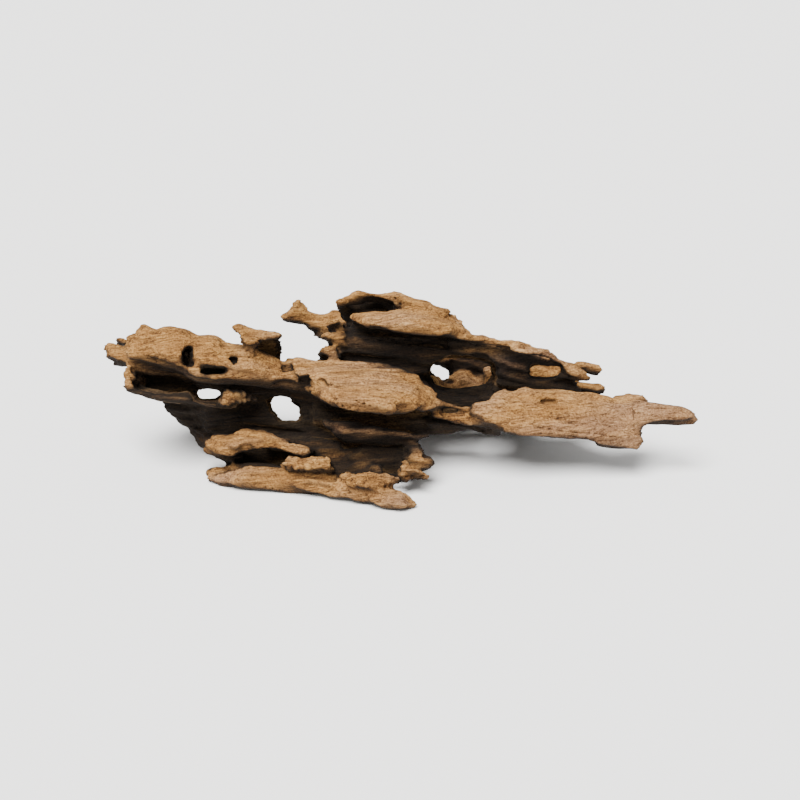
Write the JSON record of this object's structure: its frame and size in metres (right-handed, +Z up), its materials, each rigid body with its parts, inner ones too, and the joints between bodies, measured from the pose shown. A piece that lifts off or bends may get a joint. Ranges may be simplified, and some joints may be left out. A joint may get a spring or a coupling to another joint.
{
  "type": "honeycomb driftwood piece",
  "caption": "Weathered, hollow piece of driftwood, rotted into ridges, spurs and through holes along its grain. It lies on flat spots of its underside, as decor for a tank, terrarium or shelf.",
  "frame": {"origin": "on the ground, under the middle of the wood's bounding box", "axes": "+X along the grain, towards the long plate's tip; +Y away from the side with the large hole; +Z up, away from the feet"},
  "size_m": [0.356, 0.1372, 0.104],
  "materials": {
    "driftwood": "dry, sun-bleached and eroded, dark in its hollows"
  },
  "bodies": {
    "root": {"honeycomb_wood": "driftwood"}
  },
  "joints": []
}
